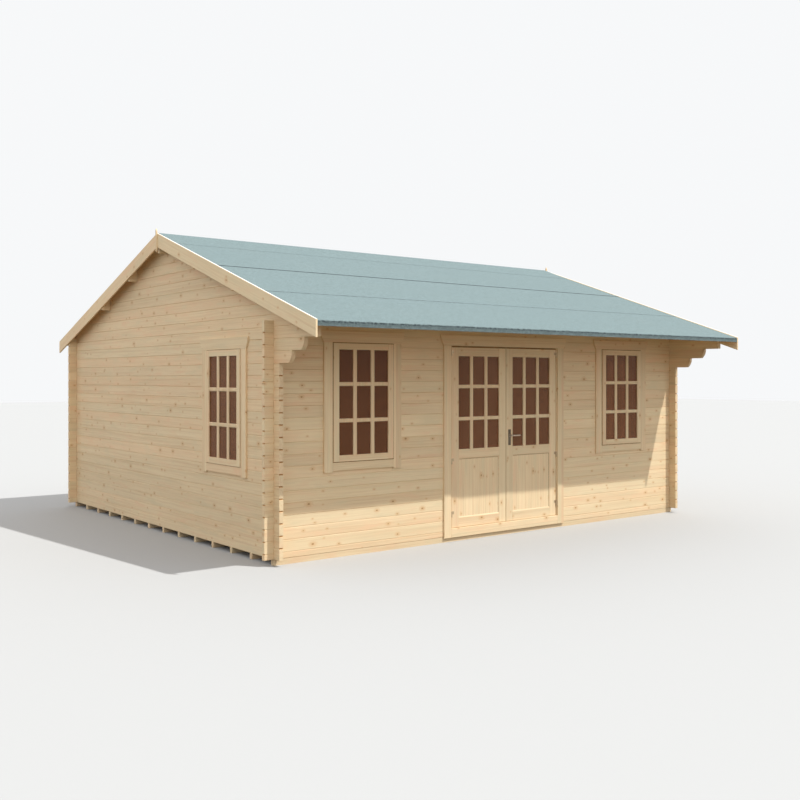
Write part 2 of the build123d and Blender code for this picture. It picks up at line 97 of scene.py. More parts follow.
# Widths of the side, top and bottom members of the frames, and of a board in a wide member
WINDOW_TRIM = (0.143, 0.114, 0.097)
SASH = (0.0955, 0.0925, 0.0925)
DOOR_TRIM = (0.142, 0.114, 0.097)
DOOR_FRAME = (0.040, 0.0405, 0.0255)
BOARD = 0.16

# Windows: the frame's width, the sash's rise over the wall, and the trim's depth and gap
WINDOW_FRAME = 0.0304
SASH_RISE = 0.026
TRIM_DEPTH = 0.018
TRIM_GAP = 0.0046

# Leaves: the middles of the bottom, lock and top rails, the heights that part them, the panel's
# bottom and top, and for each face of the panel its distance behind the leaf's front, the way
# that it looks and the height of its mouldings. The upright line of painted shade ends a little
# under the panel's top, and the strip of painted shade over a leaf has a height, a thickness
# and an inset at its ends
STILE = 0.100
RAILS = (0.048, 0.788, 1.888)
RAIL_PARTINGS = (0.5, 1.2)
PANEL = (0.095, 0.741)
PANEL_FACES = ((0.008, -1.0, 0.0068), (0.026, 1.0, 0.0125))
PANEL_GAP = 0.0004
SKIN_LAP = 0.0004
BED_MOULDING = 0.0105
SILL_MOULDING = 0.016
SHADE_LINE = 0.0038
SHADE_LINE_END = 0.013
HEAD_SHADE_STRIP = (0.012, 0.0012)
HEAD_SHADE_STRIP_INSET = 0.001

# Hinges: their heights, the flaps' face, and the screws' places from a half hinge's middle
# towards the middle of the door, and up
HINGE_HEIGHTS = (0.290, 0.855, 2.010)
FLAP_FACE = -2.3525
SCREW_SHIFT = 0.013
SCREW_RISES = (0.008, 0.022)

# Handle: places from a plate's end or from the spindle, the rib's half width and height, and
# turned fittings by radius and height
PLATE_SCREW = 0.011
PLATE_END = 0.020
COLLAR_REACH = 0.022
KEYHOLE_DROP = 0.070
KEYHOLE_REACH = 0.014
RIB = (0.006, 0.0024)
SCREW_HEAD = ((0.0006, 0.0), (0.0036, 0.0), (0.0034, 0.0006), (0.0022, 0.0011), (0.0006, 0.0013))
COLLAR = ((0.0128, 0.0), (0.0165, 0.0), (0.0165, 0.0040), (0.0150, 0.0055), (0.0128, 0.0055))
KEYHOLE = ((0.0006, 0.0), (0.0085, 0.0), (0.0085, 0.0010), (0.0074, 0.0018), (0.0006, 0.0018))

# Pine: a growth ring's width, and two rows of knots by spacing, seed, least and greatest radius
RING = 0.0058
KNOT_ROWS = ((0.37, 11.0, 0.0036, 0.0105), (0.59, 23.0, 0.0026, 0.0065))

# Stage: half the floor's width, the strength of the sky, the sun and the camera
STAGE_REACH = 60.0
SKY_STRENGTH = 1.05
SUN_STRENGTH = 3.4
SUN_WIDTH = math.radians(0.8)
SUN_WAY = (0.70, -1.0, 1.917)
CAMERA_PLACE = (-7.543, -10.161, 1.749)
CAMERA_TURN = math.radians(-37.74)
CAMERA_LENS = 43.48
CAMERA_SHIFT = -0.0280


# Properties


def length_property(name, description, default, least=0.0):
    """A length that a user can change."""
    return bpy.props.FloatProperty(
        name=name, description=description, default=default, min=least, unit="LENGTH")


def colour_property(name, description, default):
    """A colour that a user can change."""
    return bpy.props.FloatVectorProperty(
        name=name, description=description, default=default, subtype="COLOR", size=3,
        min=0, max=1)


class CabinSizes(bpy.types.PropertyGroup):
    """Sizes of the pieces that this script adds."""

    upright_bar: length_property("Upright bar", "Width of an upright glazing bar", 0.045, 0.01)
    level_bar: length_property("Level bar", "Height of a level glazing bar", 0.039, 0.01)
    bar_depth: length_property(
        "Bar depth", "Depth of a glazing bar on each side of the glass", 0.011, 0.002)
    panes: bpy.props.IntProperty(
        name="Panes", description="Panes across and up each sash and leaf", default=3, min=1)
    edge: length_property("Worn edge", "Width of the eased edges of the boards", 0.0018)
    log_edge: length_property("Log edge", "Width of the eased edges of the logs", 0.0015)
    panel_board: length_property(
        "Panel board", "Width of the matched boards in a door panel", 0.099, 0.02)
    roof_board: length_property("Roof board", "Width of the boards under the felt", 0.115, 0.02)
    floor_board: length_property("Floor board", "Width of the floor boards", 0.115, 0.02)
    panel_skin: length_property(
        "Panel skin", "Depth of the matched boards on a door panel", 0.0018, 0.001)
    panel_vee: length_property(
        "Panel vee", "Depth of the vee joints between a panel's boards", 0.0009, 0.0005)
    roof_vee: length_property(
        "Roof vee", "Depth of the vee joints between the roof's boards", 0.0030, 0.0005)
    floor_vee: length_property(
        "Floor vee", "Depth of the vee joints between the floor's boards", 0.0012, 0.0005)


class CabinColours(bpy.types.PropertyGroup):
    """Colours of the finishes, as they read in daylight."""

    pale_wood: colour_property("Pale wood", "Early wood of the pine", (0.895, 0.712, 0.458))
    warm_wood: colour_property("Warm wood", "Late wood of the pine", (0.715, 0.500, 0.280))
    rosy_wood: colour_property("Rosy wood", "Tint of the ruddier boards", (0.84, 0.565, 0.345))
    sallow_wood: colour_property("Sallow wood", "Tint of the yellower boards", (0.79, 0.645, 0.41))
    # Upward faces of the bargeboards blend towards this colour: a painted highlight.
    highlight_wood: colour_property(
        "Top highlight", "Upper edges of the bargeboards", (0.97, 0.93, 0.86))
    knot: colour_property("Knot", "Heart of a knot", (0.45, 0.235, 0.095))
    knot_rim: colour_property("Knot rim", "Resin-rich wood round a knot", (0.72, 0.455, 0.225))
    # The end grain's own darker tone, with painted shade of the deep notches over it.
    notch_grain_and_shade: colour_property(
        "Notch", "End grain in the notches of the log ends", (0.62, 0.36, 0.16))
    # Dark colour of the sash gap strips and of the leaves' strips: painted shade of gaps and
    # corners.
    seal_shade: colour_property(
        "Seal", "Draught seals round the sashes and leaves", (0.28, 0.145, 0.055))
    felt: colour_property("Felt", "Mineral granules on the felt", (0.174, 0.230, 0.234))
    worn_felt: colour_property("Worn felt", "Paler patches of the felt", (0.210, 0.248, 0.239))
    bitumen: colour_property(
        "Bitumen", "Bare bitumen at laps and creases", (0.035, 0.045, 0.05))
    glass: colour_property(
        "Glass", "Tint of the light that the glass lets through", (0.54, 0.385, 0.28))
    haze: colour_property(
        "Haze", "Bronze film on the glass as it catches light", (0.51, 0.204, 0.077))
    hinge: colour_property("Hinges", "Zinc plate of the hinges", (0.66, 0.50, 0.33))
    plate: colour_property("Plates", "Steel of the handle plates", (0.16, 0.125, 0.085))
    lever: colour_property("Lever", "Steel of the lever", (0.56, 0.47, 0.38))
    lit_ground: colour_property(
        "Ground", "Studio floor as it lights the cabin", (0.098, 0.084, 0.058))
    shown_ground: colour_property(
        "Shown ground", "Studio floor as the camera sees it", (0.45, 0.45, 0.445))
    sky_light: colour_property("Sky light", "Light of the sky", (0.97, 0.98, 1.0))
    shown_sky: colour_property(
        "Shown sky", "Background as the camera sees it", (0.93, 0.94, 0.95))


def sizes():
    return bpy.context.scene.cabin_sizes


def colours():
    return bpy.context.scene.cabin_colours


# Shaders


class Number:
    """A node socket that holds a number; sums on it add Math nodes to its tree."""

    def __init__(self, graph, socket):
        self.graph = graph
        self.socket = socket

    def maths(self, operation, *values):
        return self.graph.maths(operation, self, *values)

    def __add__(self, other):
        return self.maths("ADD", other)

    __radd__ = __add__

    def __mul__(self, other):
        return self.maths("MULTIPLY", other)

    __rmul__ = __mul__

    def __sub__(self, other):
        return self.maths("SUBTRACT", other)

    def __rsub__(self, other):
        return self.graph.maths("SUBTRACT", other, self)

    def __truediv__(self, other):
        return self.maths("DIVIDE", other)

    def __rtruediv__(self, other):
        return self.graph.maths("DIVIDE", other, self)

    def __pow__(self, other):
        return self.maths("POWER", other)

    def __gt__(self, other):
        return self.maths("GREATER_THAN", other)

    def __lt__(self, other):
        return self.maths("LESS_THAN", other)

    def absolute(self):
        return self.maths("ABSOLUTE")

    def floor(self):
        return self.maths("FLOOR")

    def sine(self):
        return self.maths("SINE")

    def root(self):
        return self.maths("SQRT")

    def larger(self, other):
        return self.maths("MAXIMUM", other)

    def smaller(self, other):
        return self.maths("MINIMUM", other)

    def step(self, low, high):
        """Rises smoothly from 0 at low to 1 at high."""
        found = self.graph.node(
            "ShaderNodeMapRange", {"interpolation_type": "SMOOTHSTEP"},
            {"Value": self, "From Min": low, "From Max": high})
        return Number(self.graph, found.outputs["Result"])


class Graph:
    """The node tree of a material or a world, with one method that adds any node."""

    def __init__(self, owner, output="ShaderNodeOutputMaterial"):
        owner.use_nodes = True
        self.owner = owner
        self.tree = owner.node_tree
        self.tree.nodes.clear()
        self.output = self.node(output)
        self.known = {}

    def node(self, kind, settings=None, values=None):
        """Adds a node, sets its settings and then its sockets' values or links."""
        made = self.tree.nodes.new(kind)
        for key, value in (settings or {}).items():
            setattr(made, key, value)
        for key, value in (values or {}).items():
            socket = made.inputs[key]
            if isinstance(value, Number):
                value = value.socket
            if isinstance(value, bpy.types.NodeSocket):
                self.tree.links.new(value, socket)
            elif socket.type == "RGBA" and len(value) == 3:
                socket.default_value = (*value, 1.0)
            else:
                socket.default_value = value
        return made

    def maths(self, operation, *values):
        made = self.node("ShaderNodeMath", {"operation": operation}, dict(enumerate(values)))
        return Number(self, made.outputs["Value"])

    def coordinates(self, kind="Object"):
        """The three parts of the object coordinates, or of another kind such as the normal."""
        if kind not in self.known:
            found = self.node("ShaderNodeTexCoord")
            self.known[kind] = self.split(found.outputs[kind])
        return self.known[kind]

    def split(self, vector):
        found = self.node("ShaderNodeSeparateXYZ", values={0: vector})
        return [Number(self, found.outputs[key]) for key in "XYZ"]

    def vector(self, x, y, z):
        return self.node("ShaderNodeCombineXYZ", values={0: x, 1: y, 2: z}).outputs["Vector"]

    def noise(self, x, y, z, detail=2.0, roughness=0.5):
        """Smooth noise, about 0.5 on average, at coordinates that are already scaled."""
        found = self.node(
            "ShaderNodeTexNoise", {"noise_dimensions": "3D"},
            {"Vector": self.vector(x, y, z), "Scale": 1.0, "Detail": detail,
             "Roughness": roughness})
        return Number(self, found.outputs["Fac"])

    def mottle(self, x, y, z, detail=2.0, roughness=0.5):
        """Noise over the object coordinates, given by how many spots a metre holds each way."""
        place = self.coordinates()
        return self.noise(place[0] * x, place[1] * y, place[2] * z, detail, roughness)

    def chance(self, x, y=0.0, z=0.0):
        """Three even random numbers for each triple of coordinates."""
        found = self.node(
            "ShaderNodeTexWhiteNoise", {"noise_dimensions": "3D"},
            {"Vector": self.vector(x, y, z)})
        return self.split(found.outputs["Color"])

    def blend(self, share, first, second, kind="MIX"):
        """A colour between two others."""
        found = self.node(
            "ShaderNodeMix", {"data_type": "RGBA", "blend_type": kind},
            {"Factor": share, "A": first, "B": second})
        return found.outputs["Result"]

    def bump(self, height, distance, strength=1.0):
        found = self.node("ShaderNodeBump", values={
            "Height": height, "Distance": distance, "Strength": strength})
        return found.outputs["Normal"]

    def rays(self, *kinds):
        """1 for rays of the given kinds and 0 for others."""
        path = self.node("ShaderNodeLightPath")
        return reduce(Number.larger, [Number(self, path.outputs[kind]) for kind in kinds])

    def shader(self, kind, **values):
        """Adds a shader; its sockets' names are given with underscores for spaces."""
        named = {key.replace("_", " "): value for key, value in values.items()}
        return self.node(kind, values=named).outputs[0]

    def mixed(self, share, first, second):
        """A share of the second shader over the first."""
        return self.node("ShaderNodeMixShader", values={0: share, 1: first, 2: second}).outputs[0]

    def finish(self, shader):
        """Links the shader to the output and gives the material or world."""
        self.tree.links.new(shader, self.output.inputs["Surface"])
        return self.owner


def knot_row(graph, along, across, board, start, share, row):
    """A row of knots along a board: one or none in each cell of the row's spacing.

    Gives the knots' hearts, the resin-rich wood round them, and how far in metres they push the
    rings aside. A knot is an ellipse along the grain with an edge that noise makes uneven.
    """
    spacing, salt, least, most = row
    shifted = along / spacing + start + salt
    cell = shifted.floor()
    draw = graph.chance(cell, board, salt)
    other = graph.chance(cell, board, salt + 5.0)
    beside = (shifted - cell - 0.2 - draw[0] * 0.6) * spacing
    above = across - (draw[1] - 0.5) * 0.09
    size = (least + (draw[2] ** 2.0) * (most - least)) * (other[0] < 0.60 * share)
    wobble = graph.noise(along * 90.0, across * 90.0, board, 1.0) * 0.0025
    far = ((beside * 0.62) ** 2.0 + above * above).root() + wobble
    present = size > 0.001
    heart = (1.0 - (far / (size + 0.0001)).step(0.75, 1.15)) * present
    rim = (1.0 - far.step(size, size * 3.6 + 0.008)) * present
    push = (1.0 - far.step(0.0, size * 5.0 + 0.001)) * size
    return heart, rim, push


def grain(graph, place, luck, sway, push):
    """The share of late wood, and the fibre, which is noise drawn out along the board.

    Growth rings are a sine of the distance from a pith line that runs beside the board. Noise
    and sway warp that distance and knots widen it; broad and narrow streaks lie over the rings.
    """
    along, across, through, board = place
    wave = graph.noise(along * 2.6, across * 16.0 + board * 3.7, through * 9.0, 3.0) - 0.5
    warped = across + sway * 0.05 - (luck[0] - 0.5) * 0.16
    depth = through + 0.03 + luck[2] * 0.07
    rings = (warped * warped + depth * depth).root() + wave * 0.006 + push * 1.2
    fine = (rings * (math.tau / RING)).sine() * 0.5 + 0.5
    broad = graph.noise(rings * 55.0, board * 3.1, along * 0.25, 2.0)
    streak = graph.noise(along * 1.1, across * 55.0 + board * 5.0, through * 55.0, 4.0, 0.65)
    fibre = graph.noise(along * 9.0, across * 420.0, through * 420.0, 2.0)
    late = (fine ** 3.0) * 0.34 + broad.step(0.42, 0.76) * 0.44 + streak.step(0.42, 0.74) * 0.50
    return late + (fibre - 0.5) * 0.36, fibre


def notches(graph, across, axis, low_end, high_end):
    """1 on the slanting faces of the notches between two ends of the logs, and 0 elsewhere."""
    place = graph.coordinates()[axis]
    tilt = graph.coordinates("Normal")[axis].absolute()
    slanting = (tilt > NOTCH_TILT[0]) * (tilt < NOTCH_TILT[1])
    within = (place > low_end) * (place < high_end)
    return slanting * within * (across.absolute() > (COURSE / 2 - NOTCH_REACH))


def pine(name, layout, tone=1.0, knots=1.0, notched=None, top_highlight=0.0, spread=1.0):
    """Planed pine.

    layout(graph) gives where a point is in its board: along the grain, across it and through
    it, all in metres, with the middle of the board at 0 across and its face at 0 through, and
    the board's number. knots is the share of the usual number of knots. notched is the axis of
    logs whose ends are notched, with the places of those ends; the notches' slanting faces are
    dull and darker, the end grain's own tone with painted shade of the deep notches over it.
    top_highlight is how far faces that look up are paler, a painted highlight of the light from
    above, and spread is how much the boards differ in colour.
    """
    graph = Graph(bpy.data.materials.new(name))
    place = layout(graph)
    along, across, through, board = place
    paint = colours()
    luck = graph.chance(board, 3.7, 1.3)
    taste = [(part - 0.5) * spread + 0.5 for part in luck]
    rows = [knot_row(graph, along, across, board, luck[1] * 9.0, knots, row) for row in KNOT_ROWS]
    heart, rim = (reduce(Number.larger, [row[part] for row in rows]) for part in (0, 1))
    sway = graph.noise(along * 0.8, board * 7.31, through * 3.0, 1.0) - 0.5
    cloud = graph.noise(along * 2.3 + board * 2.9, across * 11.0, through * 6.0, 3.0, 0.6)
    late, fibre = grain(graph, place, luck, sway, rows[0][2] + rows[1][2])
    late = late + (taste[1] - 0.5) * 0.16 - 0.03
    wood = graph.blend(late.larger(0.0).smaller(1.0), paint.pale_wood, paint.warm_wood)
    rosy = (taste[2] ** 2.0) * 0.38 + cloud.step(0.50, 0.70) * 0.52
    wood = graph.blend(rosy.smaller(0.9), wood, paint.rosy_wood)
    sallow = (1.0 - taste[2]).larger(0.0) ** 2.0 * 0.34 + (1.0 - cloud.step(0.30, 0.48)) * 0.50
    wood = graph.blend(sallow.smaller(0.8), wood, paint.sallow_wood)
    wood = graph.blend(rim * 0.60, wood, paint.knot_rim)
    wood = graph.blend(heart * 0.92, wood, paint.knot)
    # Faces that look up are blended paler: a painted highlight of the light from above.
    if top_highlight:
        upward = graph.coordinates("Normal")[2].step(0.5, 0.9)
        wood = graph.blend(upward * top_highlight, wood, paint.highlight_wood)
    level = (1.0 + (taste[0] - 0.5) * 0.10 + sway * 0.14 + (cloud - 0.5) * 0.10) * tone
    grey = graph.node("ShaderNodeCombineColor", values={0: level, 1: level, 2: level})
    wood = graph.blend(1.0, wood, grey.outputs["Color"], "MULTIPLY")
    height = late * -0.25 - heart * 0.6 + fibre * 0.3
    shown = graph.shader(
        "ShaderNodeBsdfPrincipled", Base_Color=wood, Specular_IOR_Level=0.3,
        Roughness=0.62 + (fibre - 0.5) * 0.2 - heart * 0.15,
        Normal=graph.bump(height, 0.0006, 0.5))
    # The notches' slanting faces turn dull and darker: end grain's tone and painted shade.
    if notched:
        cut = notches(graph, across, *notched)
        shown = graph.mixed(cut, shown, graph.shader("ShaderNodeBsdfDiffuse", Color=paint.notch_grain_and_shade))
    return graph.finish(shown)


def level_logs(along_axis, shift, low_face, high_face):
    """Logs of two facing walls, one above another; axes 0 and 1 are X and Y."""

    def layout(graph):
        place = graph.coordinates()
        course = (place[2] - shift) / COURSE
        number = course.floor()
        middle = (course - number - 0.5) * COURSE
        side = place[1 - along_axis]
        through = (side - low_face).smaller(high_face - side)
        return (place[along_axis], middle, through,
                number + (side > 0.0) * 40.0 + shift * 900.0)

    return layout


def level_boards(along_axis, across_axis, width, shift=0.0, base=0.0):
    """Boards along one axis that lie side by side on another, with their faces at a base."""
    through_axis = 3 - along_axis - across_axis

    def layout(graph):
        place = graph.coordinates()
        share = (place[across_axis] - shift) / width
        number = share.floor()
        return (place[along_axis], (share - number - 0.5) * width,
                place[through_axis] - base, number + (place[1] > 0.0) * 77.0)

    return layout


def whole(along_axis, across_axis, middle, number=0.0):
    """One board in each quarter of the plan, its depth counted afresh every seventh of a metre."""
    through_axis = 3 - along_axis - across_axis

    def layout(graph):
        place = graph.coordinates()
        side = (place[0] > 0.0) * 13.0 + (place[1] > 0.0) * 29.0
        through = (place[through_axis] * 7.0).floor() / 7.0
        return (place[along_axis], place[across_axis] - middle,
                place[through_axis] - through, side + number)

    return layout


def down_slope(top, width=None):
    """Boards that follow the roof's slopes, their upper faces at a height over the ridge.

    The distance from the ridge and the height are turned by the pitch into a length down the
    slope and a depth square to it. With a width the boards lie side by side, and without one
    each slope has a board on edge at each end of the roof.
    """
    cosine, sine = math.cos(PITCH), math.sin(PITCH)

    def layout(graph):
        x, y, z = graph.coordinates()
        run = y.absolute()
        down = run * cosine - z * sine
        depth = run * sine + z * cosine - top * cosine
        side = (y > 0.0) * 29.0 + (x > 0.0) * 13.0
        if width is None:
            return down, depth + VERGE_BOARD / 2, x.absolute() - VERGE, side + 3.0
        share = x / width
        number = share.floor()
        return down, (share - number - 0.5) * width, depth, side + number

    return layout


def framed(node, stile, top, bottom, number, crossed=False):
    """Uprights at the sides of a node and level members between them.

    stile, top and bottom are the members' widths. crossed marks a frame whose top member lies
    over the whole width. A member that is wider than BOARD shows as several boards.
    """
    low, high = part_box(node)
    face_axis = 0 if high[0] - low[0] < high[1] - low[1] else 1
    across_axis = 1 - face_axis

    def layout(graph):
        place = graph.coordinates()
        side = place[across_axis] - (low[across_axis] + high[across_axis]) / 2
        inner = (high[across_axis] - low[across_axis]) / 2 - stile
        upper = place[2] > (high[2] - top)
        lower = place[2] < (low[2] + bottom)
        level = (side.absolute() < inner) * upper.larger(lower)
        if crossed:
            level = level.larger(upper)
        upright = 1.0 - level
        rise = place[2] - (low[2] + high[2]) / 2
        along = rise * upright + side * level
        across = side * upright + rise * level
        member = level * (3.0 + upper * 2.0) + (side > 0.0) * upright + number
        board = (across / BOARD + 0.5).floor()
        return (along, across - board * BOARD, place[face_axis] - low[face_axis],
                member + board * 0.37)

    return layout


def leaf_members(node, number):
    """A door leaf: stiles over the whole height and three rails between them."""
    low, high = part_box(node)
    middle = (low[0] + high[0]) / 2
    inner = (high[0] - low[0]) / 2 - STILE
    lock_low, lock_high = (low[2] + height for height in RAIL_PARTINGS)

    def layout(graph):
        x, y, z = graph.coordinates()
        side = x - middle
        level = side.absolute() < inner
        upright = 1.0 - level
        upper = z > lock_high
        lock = (z > lock_low) * (z < lock_high)
        centre = (low[2] + RAILS[0]) + lock * (RAILS[1] - RAILS[0]) + upper * (RAILS[2] - RAILS[0])
        across = (side.absolute() - inner - STILE / 2) * upright + (z - centre) * level
        along = z * upright + side * level
        member = number + level * (2.0 + lock + upper * 2.0) + (side > 0.0) * upright
        return along, across, y - low[1], member

    return layout


def metal(name, tone, roughness):
    """Metal with fine brushing, and dull patches in which its colour is darker."""
    graph = Graph(bpy.data.materials.new(name))
    brush = graph.mottle(900.0, 900.0, 40.0)
    dull = graph.mottle(60.0, 60.0, 60.0, 3.0)
    return graph.finish(graph.shader(
        "ShaderNodeBsdfPrincipled", Metallic=1.0,
        Base_Color=graph.blend(dull, tone, tuple(0.7 * part for part in tone)),
        Roughness=roughness + (brush - 0.5) * 0.2, Normal=graph.bump(brush, 0.0002, 0.3)))


def seal_shade(name):
    """Dull dark colour of painted shade, mottled with dust, for gap strips and leaf strips."""
    graph = Graph(bpy.data.materials.new(name))
    dust = graph.mottle(35.0, 35.0, 35.0, 3.0)
    tone = colours().seal_shade
    return graph.finish(graph.shader(
        "ShaderNodeBsdfPrincipled", Roughness=0.9, Specular_IOR_Level=0.1,
        Base_Color=graph.blend(dust.step(0.4, 0.7), tone, tuple(1.5 * part for part in tone)),
        Normal=graph.bump(dust, 0.0003, 0.4)))


def mineral_felt(name, fold_top):
    """Bitumen felt with slate granules.

    The granules are noise at three sizes. Bare bitumen shows in a ragged band at each lap, in
    blotches on the folded edge, most of all at its crease and foot, and in nicks beside it.
    """
    graph = Graph(bpy.data.materials.new(name))
    _, y, z = graph.coordinates()
    granules = graph.mottle(420.0, 420.0, 420.0, 2.0, 0.7)
    coarse = graph.mottle(90.0, 90.0, 90.0, 3.0, 0.7)
    patch = graph.mottle(26.0, 26.0, 26.0, 2.0, 0.6)
    blotch = graph.mottle(1.3, 2.0, 2.0, 4.0, 0.6)
    ragged = graph.mottle(9.0, 2.0, 2.0, 4.0, 0.7)
    torn = graph.mottle(31.0, 4.0, 31.0, 4.0, 0.75)
    paint = colours()
    light = tuple(1.42 * part for part in paint.felt)
    dark = tuple(0.60 * part for part in paint.felt)
    speckle = (granules - 0.5) * 1.7 + (coarse - 0.5) * 0.95 + (patch - 0.5) * 0.5 + 0.5
    tone = graph.blend(speckle.larger(0.0).smaller(1.0), dark, light)
    tone = graph.blend((blotch - 0.5).absolute() * 0.45, tone, paint.worn_felt)

    run = y.absolute()
    marks = []
    for distance, _, strength in LAPS:
        beside = run - distance - (ragged - 0.5) * 0.006
        band = (1.0 - beside.step(0.004, 0.011)) * (beside > -0.006)
        marks.append(band * strength * ragged.step(0.22, 0.50))
    upright = 1.0 - graph.coordinates("Normal")[2].absolute().step(0.35, 0.75)
    below = (fold_top - z + (ragged - 0.5) * 0.026 + (torn - 0.5) * 0.034) / FOLD
    crease = (1.0 - below.step(0.26, 0.60)) * (0.12 + torn.step(0.40, 0.58) * 0.88)
    foot = below.step(0.86, 0.98) * torn.step(0.35, 0.60) * 0.8
    stains = 0.08 + patch.step(0.42, 0.60) * 0.34
    marks.append(crease.larger(foot).larger(stains) * upright)
    marks.append((run > SCUFFED_FROM) * (1.0 - upright) * torn.step(0.50, 0.66) * 0.6)
    bare = reduce(Number.larger, marks)
    return graph.finish(graph.shader(
        "ShaderNodeBsdfPrincipled", Roughness=0.92, Specular_IOR_Level=0.2,
        Base_Color=graph.blend(bare.larger(0.0).smaller(0.95), tone, paint.bitumen),
        Normal=graph.bump(granules + coarse, 0.0012, 0.5)))


def pane_glass(name):
    """Bronze glass.

    A thin tinted sheet that light passes straight through, with a film that scatters a little
    of it and a gloss that grows at a glancing angle.
    """
    graph = Graph(bpy.data.materials.new(name))
    smear = graph.mottle(3.0, 3.0, 5.0, 3.0)
    clear = graph.shader("ShaderNodeBsdfTransparent", Color=colours().glass)
    film = graph.shader("ShaderNodeBsdfDiffuse", Color=colours().haze)
    gloss = graph.shader("ShaderNodeBsdfGlossy", Color=(1.0, 1.0, 1.0), Roughness=0.02)
    rim = Number(graph, graph.node("ShaderNodeFresnel", values={"IOR": 1.5}).outputs["Fac"])
    tinted = graph.mixed(0.27 + (smear - 0.5) * 0.10, clear, film)
    return graph.finish(graph.mixed(rim * (0.18 + smear * 0.14), tinted, gloss))


# Shapes


def piece(name, body, material, shape, replaced=()):
    """A mesh from a shape's points and faces, turned outwards, riding on a body."""
    points, faces = shape
    mesh = bpy.data.meshes.new(name)
    mesh.from_pydata(points.tolist(), [], faces)
    work = bmesh.new()
    work.from_mesh(mesh)
    bmesh.ops.recalc_face_normals(work, faces=work.faces)
    work.to_mesh(mesh)
    work.free()
    mesh.materials.append(material)
    made = bpy.data.objects.new(name, mesh)
    bpy.context.scene.collection.objects.link(made)
    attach(made, body)
    if replaced:
        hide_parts(*replaced)


def quads(index, after):
    """Quads from each closed ring of corner numbers to the ring after it."""
    beside, both = np.roll(index, -1, axis=-1), np.roll(after, -1, axis=-1)
    return np.stack([index, beside, both, after], axis=-1).reshape(-1, 4).tolist()


def numbered(points):
    """The number of each point in an array of points."""
    return np.arange(points[..., 0].size).reshape(points.shape[:-1])


def carried(profile, starts, ends, right, up):
    """A closed profile carried straight from each start to its end.

    Corner k of bar b is start_b (or end_b) + profile_k,0 * right_b + profile_k,1 * up_b; the
    corners of the two ends are joined by quads and each end is closed by one face.
    """
    profile = np.asarray(profile, float)
    starts, ends = (np.atleast_2d(np.asarray(side, float)) for side in (starts, ends))
    right, up = (np.broadcast_to(np.asarray(way, float), starts.shape) for way in (right, up))
    section = profile[None, :, :1] * right[:, None, :] + profile[None, :, 1:] * up[:, None, :]
    points = np.stack([starts[:, None, :] + section, ends[:, None, :] + section], axis=1)
    index = numbered(points)
    faces = quads(index[:, 0], index[:, 1])
    faces += index[:, 0, ::-1].tolist() + index[:, 1].tolist()
    return points.reshape(-1, 3), faces


def strip(profile, start, way, right, up):
    """A closed profile carried from a start along a way, which is its whole length."""
    return carried(profile, start, np.add(start, way), right, up)


def joined(shapes):
    """Several shapes' points and faces as one shape's."""
    points, faces, count = [], [], 0
    for found, sides in shapes:
        points.append(found)
        faces += [[corner + count for corner in side] for side in sides]
        count += len(found)
    return np.concatenate(points), faces


def lofted(sections):
    """Closed sections joined in order by quads, with a face over each end.

    sections is an array of stations by corners by three coordinates.
    """
    index = numbered(sections)
    faces = quads(index[:-1], index[1:]) + [index[0, ::-1].tolist(), index[-1].tolist()]
    return sections.reshape(-1, 3), faces


def ringed(sections):
    """Closed sections joined in order by quads, and the last of them to the first."""
    index = numbered(sections)
    return sections.reshape(-1, 3), quads(index, np.roll(index, -1, axis=0))


def waver(places, salt):
    """A smooth random-looking line between -1 and 1: a sum of four sines with fixed phases."""
    waves = ((0.93, 0.40), (0.371, 0.28), (0.149, 0.19), (0.063, 0.13))
    return sum(share * np.sin(math.tau * places / length + salt * (2.1 + 3.7 * number))
               for number, (length, share) in enumerate(waves))


def felt_section(reach):
    """The felt's section from the ridge to a reach.

    Gives the distances from the ridge, the height over the plain sheet at each, and the number
    of the lap that an edge belongs to, or 0. A lap's thickness is gained over 2 cm, kept for
    the last 8 cm before the lap's edge and lost there; at the eave the sheet rounds over.
    """
    run, rise, edge = [0.0], [0.0], [0]
    for number, (distance, lift, _) in enumerate(LAPS, 1):
        spread = np.arange(run[-1] + 0.15, distance - 0.18, 0.16)
        run += [*spread, distance - 0.100, distance - 0.080, distance - 0.001, distance]
        rise += [0.0] * len(spread) + [0.0, lift, lift, 0.0]
        edge += [0] * (len(spread) + 2) + [number, number]
    spread = np.arange(run[-1] + 0.15, reach - 0.10, 0.12)
    run += [*spread, reach - 0.016, reach - 0.006, reach - 0.0015, reach - 0.0005]
    rise += [0.0] * len(spread) + [0.0, -0.0006, -0.0030, -0.0065]
    edge += [0] * (len(spread) + 4)
    return [np.array(part, float) for part in (run, rise, edge)]


